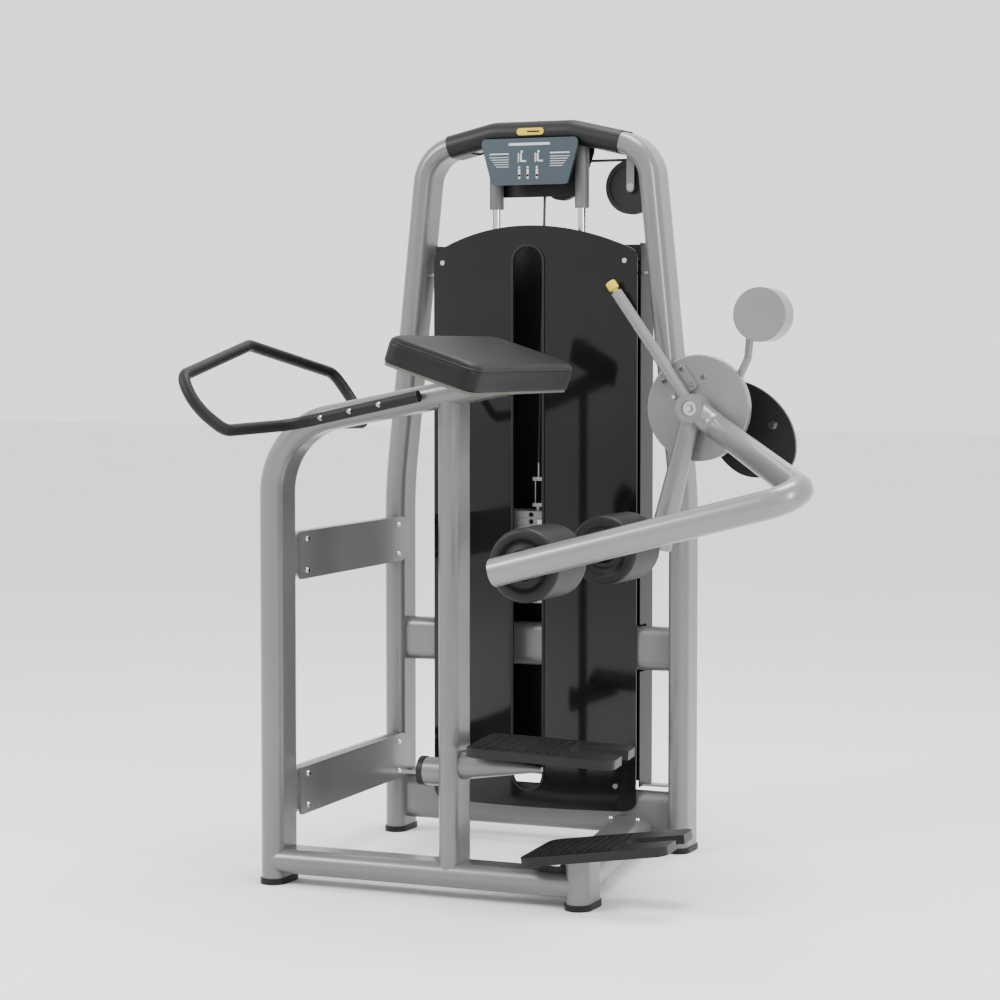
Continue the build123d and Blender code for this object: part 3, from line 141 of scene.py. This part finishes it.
finishes = {
    "frame_paint": material(
        "frame_paint", grey(0.115), grey(0.14), (0.28, 0.38), 0.3, (900.0, 0.06), 3.0,
        coat=0.35, coat_rough=0.12),
    # Painted light: the arm uses the frame paint made about a quarter brighter, standing for the brighter
    # light falling on the arm's near bar.
    "arm_paint": material(
        "arm_paint", grey(0.15), grey(0.18), (0.26, 0.36), 0.3, (900.0, 0.06), 3.0,
        coat=0.4, coat_rough=0.1),
    "black_gloss": material(
        "black_gloss", grey(0.003), grey(0.005), (0.06, 0.12), 0.0, (25.0, 0.03), 3.0,
        coat=0.1, coat_rough=0.04, specular=0.22),
    "black_metal": material(
        "black_metal", grey(0.004), grey(0.007), (0.35, 0.5), 0.0, (800.0, 0.08), 5.0, specular=0.25),
    "black_plastic": material(
        "black_plastic", grey(0.003), grey(0.006), (0.35, 0.5), 0.0, (1500.0, 0.18), 6.0,
        specular=0.28),
    "rubber": material(
        "rubber", grey(0.003), grey(0.005), (0.4, 0.55), 0.0, (1800.0, 0.3), 8.0, specular=0.25),
    "vinyl": material(
        "vinyl", grey(0.003), grey(0.005), (0.4, 0.5), 0.0, (1400.0, 0.25), 7.0,
        specular=0.22, cells=700.0),
    "foam": material(
        "foam", grey(0.004), grey(0.007), (0.42, 0.55), 0.0, (1100.0, 0.22), 7.0, specular=0.25),
    "steel": material(
        "steel", grey(0.26), grey(0.34), (0.25, 0.4), 1.0, (700.0, 0.05), 9.0),
    "chrome": material(
        "chrome", (0.45, 0.45, 0.46), (0.55, 0.55, 0.56), (0.08, 0.16), 1.0, (300.0, 0.02), 9.0),
    "grey_plastic": material(
        "grey_plastic", grey(0.08), grey(0.1), (0.4, 0.5), 0.0, (1200.0, 0.1), 6.0),
    "placard_face": material(
        "placard_face", (0.012, 0.026, 0.036), (0.015, 0.031, 0.042), (0.35, 0.45), 0.0,
        (700.0, 0.04), 5.0),
    "yellow": material(
        "yellow", (0.50, 0.36, 0.005), (0.56, 0.41, 0.01), (0.3, 0.4), 0.0, (700.0, 0.05), 20.0),
    "plate_iron": material(
        "plate_iron", grey(0.12), grey(0.17), (0.35, 0.5), 0.6, (600.0, 0.15), 9.0),
    "board": material(
        "board", (0.07, 0.065, 0.055), (0.1, 0.092, 0.08), (0.6, 0.75), 0.0, (300.0, 0.3), 30.0),
    "cable": material(
        "cable", grey(0.010), grey(0.02), (0.3, 0.4), 0.0, (900.0, 0.1), 40.0),
}
print_white = material(
    "print_white", (0.40, 0.42, 0.43), (0.46, 0.48, 0.49), (0.5, 0.6), 0.0, (900.0, 0.03), 9.0)
print_orange = material(
    "print_orange", (0.45, 0.12, 0.02), (0.52, 0.15, 0.03), (0.5, 0.6), 0.0, (900.0, 0.03), 9.0)

for part in frame["record"]["subparts"]:
    node = nodes[part["node"]]
    node.data.materials.clear()
    node.data.materials.append(finishes[part["material_slot"]])

# ---------------------------------------------------------------- mesh helpers


def finished(bm, name, finish, body, smooth=True):
    """Turns a bmesh into a piece that rides on a body."""
    mesh = bpy.data.meshes.new(name)
    bmesh.ops.recalc_face_normals(bm, faces=bm.faces)
    bm.to_mesh(mesh)
    bm.free()
    for face in mesh.polygons:
        face.use_smooth = smooth
    mesh.materials.append(finish)
    piece = bpy.data.objects.new(name, mesh)
    bpy.context.scene.collection.objects.link(piece)
    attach(piece, body)
    return piece


def join_rings(bm, low, high):
    """Quads between two closed rings of as many vertices."""
    for k in range(len(low)):
        after = (k + 1) % len(low)
        bm.faces.new((low[k], low[after], high[after], high[k]))


def rounded_outline(wide, tall, radius, steps):
    """Corner points of a rounded rectangle about the origin."""
    points = []
    for sx, sy, start in ((1, 1, 0), (-1, 1, 90), (-1, -1, 180), (1, -1, 270)):
        for step in range(steps + 1):
            turn = math.radians(start + 90 * step / steps)
            points.append((sx * (wide / 2 - radius) + radius * math.cos(turn),
                           sy * (tall / 2 - radius) + radius * math.sin(turn)))
    return points


def plaque(name, x, z, wide, tall, radius, y, deep, finish, bevel=0.0, body="frame", steps=8):
    """Thin rounded plate whose face looks along -Y."""
    bm = bmesh.new()
    depths = [(y + deep, 0.0), (y, 0.0)]
    if bevel:
        depths = [(y + deep, 0.0), (y + bevel, 0.0), (y, bevel)]
    rings = []
    for depth, inset in depths:
        outline = rounded_outline(wide - 2 * inset, tall - 2 * inset, radius - inset, steps)
        rings.append([bm.verts.new((x + px, depth, z + pz)) for px, pz in outline])
    for low, high in zip(rings, rings[1:]):
        join_rings(bm, low, high)
    bm.faces.new(rings[-1])
    bm.faces.new(rings[0][::-1])
    return finished(bm, name, finish, body, smooth=False)


def lathe(name, profile, x, z, finish, body, segments=96):
    """Solid of revolution about a line along Y. The profile is a closed list of (radius, y)."""
    bm = bmesh.new()
    rings = []
    for radius, y in profile:
        rings.append([
            bm.verts.new((x + radius * math.cos(2 * math.pi * k / segments), y,
                          z + radius * math.sin(2 * math.pi * k / segments)))
            for k in range(segments)
        ])
    for low, high in zip(rings, rings[1:] + rings[:1]):
        join_rings(bm, low, high)
    return finished(bm, name, finish, body)


# ---------------------------------------------------------------- foam rollers


def roller(node, body):
    """Foam sleeve with a hub ring and a groove in each end, and rounded edges."""
    low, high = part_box(node)
    radius = (high.z - low.z) / 2
    x, z = (low.x + high.x) / 2, (low.z + high.z) / 2
    halves = []
    for end, inward in ((low.y, 1), (high.y, -1)):
        half = [(ring, end + inward * depth) for ring, depth in roller_end]
        half.append((radius - roller_edge - flat_end, end))
        for step in range(1, edge_steps + 1):
            turn = math.radians(90 * step / edge_steps)
            half.append((radius - roller_edge + roller_edge * math.sin(turn),
                         end + inward * roller_edge * (1 - math.cos(turn))))
        halves.append(half)
    profile = list(halves[0])
    for step in range(1, swell_steps):
        t = step / swell_steps
        swell = roller_swell * math.sin(math.pi * t) - roller_shy
        profile.append((radius + swell, low.y + roller_edge + t * (high.y - low.y - 2 * roller_edge)))
    profile += halves[1][::-1]
    piece = lathe(node + "_foam", profile, x, z, finishes["foam"], body)
    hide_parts(node)
    return piece


roller("near_roller", "near_roller")
roller("far_roller", "far_roller")

# ---------------------------------------------------------------- elbow pad
# The cushion is a stack of closed rings, each given by how far it is drawn in and by its height.
pad_low, pad_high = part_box("elbow_pad")
pad_mid = (pad_low + pad_high) / 2
perimeter = (
    [(-1 + 2 * k / across, -1) for k in range(across)]
    + [(1, -1 + 2 * k / along) for k in range(along)]
    + [(1 - 2 * k / across, 1) for k in range(across)]
    + [(-1, 1 - 2 * k / along) for k in range(along)]
)


def skin_ring(shrink, height):
    """Ring with round corners whose sides pull in between them."""
    side_in = side_pull * (1 - (height / half_thick) ** 2)
    inner_x, inner_y = half_wide - pad_corner, half_long - pad_corner
    ring = []
    for u, v in perimeter:
        x = u * (half_wide - side_in * (1 - v * v))
        y = v * (half_long - side_in * (1 - u * u))
        core_x = max(-inner_x, min(inner_x, x))
        core_y = max(-inner_y, min(inner_y, y))
        dx, dy = x - core_x, y - core_y
        if dx and dy:
            scale = max(abs(dx), abs(dy)) / math.hypot(dx, dy)
            dx, dy = dx * scale, dy * scale
        ring.append(((core_x + dx) * (1 - shrink / half_wide),
                     (core_y + dy) * (1 - shrink / half_long), height))
    return ring


roll_start = half_thick - pad_roll
side_start = pad_foot - half_thick
ring_specs = []
for step in range(5):
    turn = math.radians(90 * step / 4)
    ring_specs.append((pad_foot * (1 - math.sin(turn)), pad_foot * (1 - math.cos(turn)) - half_thick))
for step in range(1, 6):
    ring_specs.append((0.0, side_start + step * (roll_start - side_start) / 6))
# The seam runs round the side, just under the rolled edge.
ring_specs += [(0.0, roll_start - 0.002), (seam_depth, roll_start - 0.0005), (0.0003, roll_start + 0.001)]
for step in range(1, 8):
    turn = math.radians(90 * step / 7)
    ring_specs.append((pad_roll * (1 - math.cos(turn)), roll_start - pad_crown + pad_roll * math.sin(turn)))
for shrink in (0.03, 0.045, 0.06, 0.075, 0.088):
    ring_specs.append((shrink, half_thick - pad_crown * (1 - shrink / half_wide) ** 2))

pad_bm = bmesh.new()
pad_rings = [[pad_bm.verts.new(point) for point in skin_ring(*spec)] for spec in ring_specs]
for low_ring, high_ring in zip(pad_rings, pad_rings[1:]):
    join_rings(pad_bm, low_ring, high_ring)
pad_bm.faces.new(pad_rings[0][::-1])
pad_bm.faces.new(pad_rings[-1])
pad_bm.transform(Matrix.Translation(pad_mid) @ Matrix.Rotation(pad_tilt, 4, "Y"))
pad = finished(pad_bm, "elbow_pad_cushion", finishes["vinyl"], "frame")
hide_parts("elbow_pad")

# ---------------------------------------------------------------- badge
sign_low, sign_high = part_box("placard")
sign_x = (sign_low.x + sign_high.x) / 2
cover_low, cover_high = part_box("top_cover")
# Name, shift to the right, width, height, corner radius, stand-off from the cover, depth, slot, bevel.
for name, shift, wide, tall, radius, proud, deep, slot, bevel in (
    ("badge_rim", 0.0, 0.070, 0.020, 0.0098, 0.0006, 0.012, "black_metal", 0.0008),
    ("badge_face", 0.0, 0.064, 0.0155, 0.0076, 0.0016, 0.006, "yellow", 0.0006),
    ("badge_bar", 0.008, 0.030, 0.0035, 0.0015, 0.0022, 0.003, "black_metal", 0.0),
):
    plaque(name, sign_x + shift, cover_high.z - badge_drop, wide, tall, radius, cover_low.y - proud, deep,
           finishes[slot], bevel)

# ---------------------------------------------------------------- placard print


def print_bar(name, x, drop, wide, tall, finish=print_white):
    """Bar of ink on the placard, placed from the middle of its top edge."""
    plaque(name, sign_x + x, sign_high.z - drop, wide, tall, min(wide, tall) * 0.35,
           sign_low.y - ink_thick, ink_thick, finish)


print_bar("print_title", 0.0, 0.013, 0.098, 0.0055)
for side in (-1, 1):
    print_bar(f"print_head_{side + 1}", side * 0.072, 0.0335, 0.046, 0.0028)
    for line in range(5):
        print_bar(f"print_line_{side + 1}_{line}", side * (0.072 - 0.002 * line), 0.041 + 0.0052 * line,
                  0.046 - 0.004 * line, 0.0014)
for col, x in enumerate((-0.020, 0.020)):
    print_bar(f"print_figure_{col}_body", x, 0.042, 0.0045, 0.018)
    print_bar(f"print_figure_{col}_head", x + 0.002, 0.0295, 0.005, 0.005)
    print_bar(f"print_figure_{col}_leg", x + 0.007, 0.050, 0.011, 0.0035)
    print_bar(f"print_figure_{col}_stand", x - 0.006, 0.0425, 0.0022, 0.020)
for col, x in enumerate((-0.024, -0.004, 0.018)):
    print_bar(f"print_muscle_{col}_body", x, 0.078, 0.005, 0.022)
    print_bar(f"print_muscle_{col}_head", x, 0.0635, 0.0045, 0.0045)
    print_bar(f"print_muscle_{col}_mark", x, 0.0815, 0.0062, 0.005, print_orange)

# ---------------------------------------------------------------- labels on the weight plates
plate_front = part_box("plates_at_rest")[0].y
top_plate_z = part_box("plates_lifted")[1].z
for index in range(label_count):
    plaque(f"plate_label_{index}", sign_x + label_shift, top_plate_z - first_label_drop - plate_pitch * index,
           label_wide, label_tall, label_radius, plate_front - ink_thick, 2 * ink_thick, print_white,
           body="carriage" if index < lifted_count else "frame", steps=4)

# ---------------------------------------------------------------- studio
floor_mesh = bpy.data.meshes.new("studio_floor")
bm = bmesh.new()
bmesh.ops.create_grid(bm, x_segments=2, y_segments=2, size=30.0)
bm.to_mesh(floor_mesh)
bm.free()
floor = bpy.data.objects.new("studio_floor", floor_mesh)
floor.location = (0, 0, -0.0005)
floor_mesh.materials.append(material(
    "studio_white", grey(0.86), grey(0.88), (0.7, 0.8), 0.0, (40.0, 0.0), 1.0, specular=0.1))
bpy.context.scene.collection.objects.link(floor)

world = bpy.data.worlds.new("studio")
world.use_nodes = True
world.node_tree.nodes["Background"].inputs["Color"].default_value = (1.0, 1.0, 1.0, 1.0)
world.node_tree.nodes["Background"].inputs["Strength"].default_value = 1.7
bpy.context.scene.world = world


def softbox(name, place, size, power):
    """Rectangular light, in metres and watts, that faces the middle of the object."""
    light = bpy.data.lights.new(name, "AREA")
    light.shape = "RECTANGLE"
    light.size, light.size_y = size
    light.energy = power
    lamp = bpy.data.objects.new(name, light)
    lamp.location = place
    lamp.rotation_mode = "QUATERNION"
    lamp.rotation_quaternion = (Vector((0, 0, 0.8)) - Vector(place)).to_track_quat("-Z", "Y")
    bpy.context.scene.collection.objects.link(lamp)


softbox("key", (-3.2, -3.0, 3.6), (1.4, 2.2), 190.0)
softbox("fill", (4.0, -2.0, 2.6), (0.8, 2.4), 130.0)
softbox("top", (0.3, 0.5, 4.2), (1.6, 1.6), 130.0)

# ---------------------------------------------------------------- camera
yaw, pitch_down = math.radians(23.211), math.radians(3.211)
forward = Vector((-math.sin(yaw) * math.cos(pitch_down), math.cos(yaw) * math.cos(pitch_down),
                  -math.sin(pitch_down)))
camera = bpy.data.cameras.new("camera")
camera.sensor_width = 36.0
camera.lens = 95.45
eye = bpy.data.objects.new("camera", camera)
eye.location = (1.9964, -5.0016, 1.0938)
eye.rotation_mode = "QUATERNION"
eye.rotation_quaternion = forward.to_track_quat("-Z", "Y")
bpy.context.scene.collection.objects.link(eye)
bpy.context.scene.camera = eye
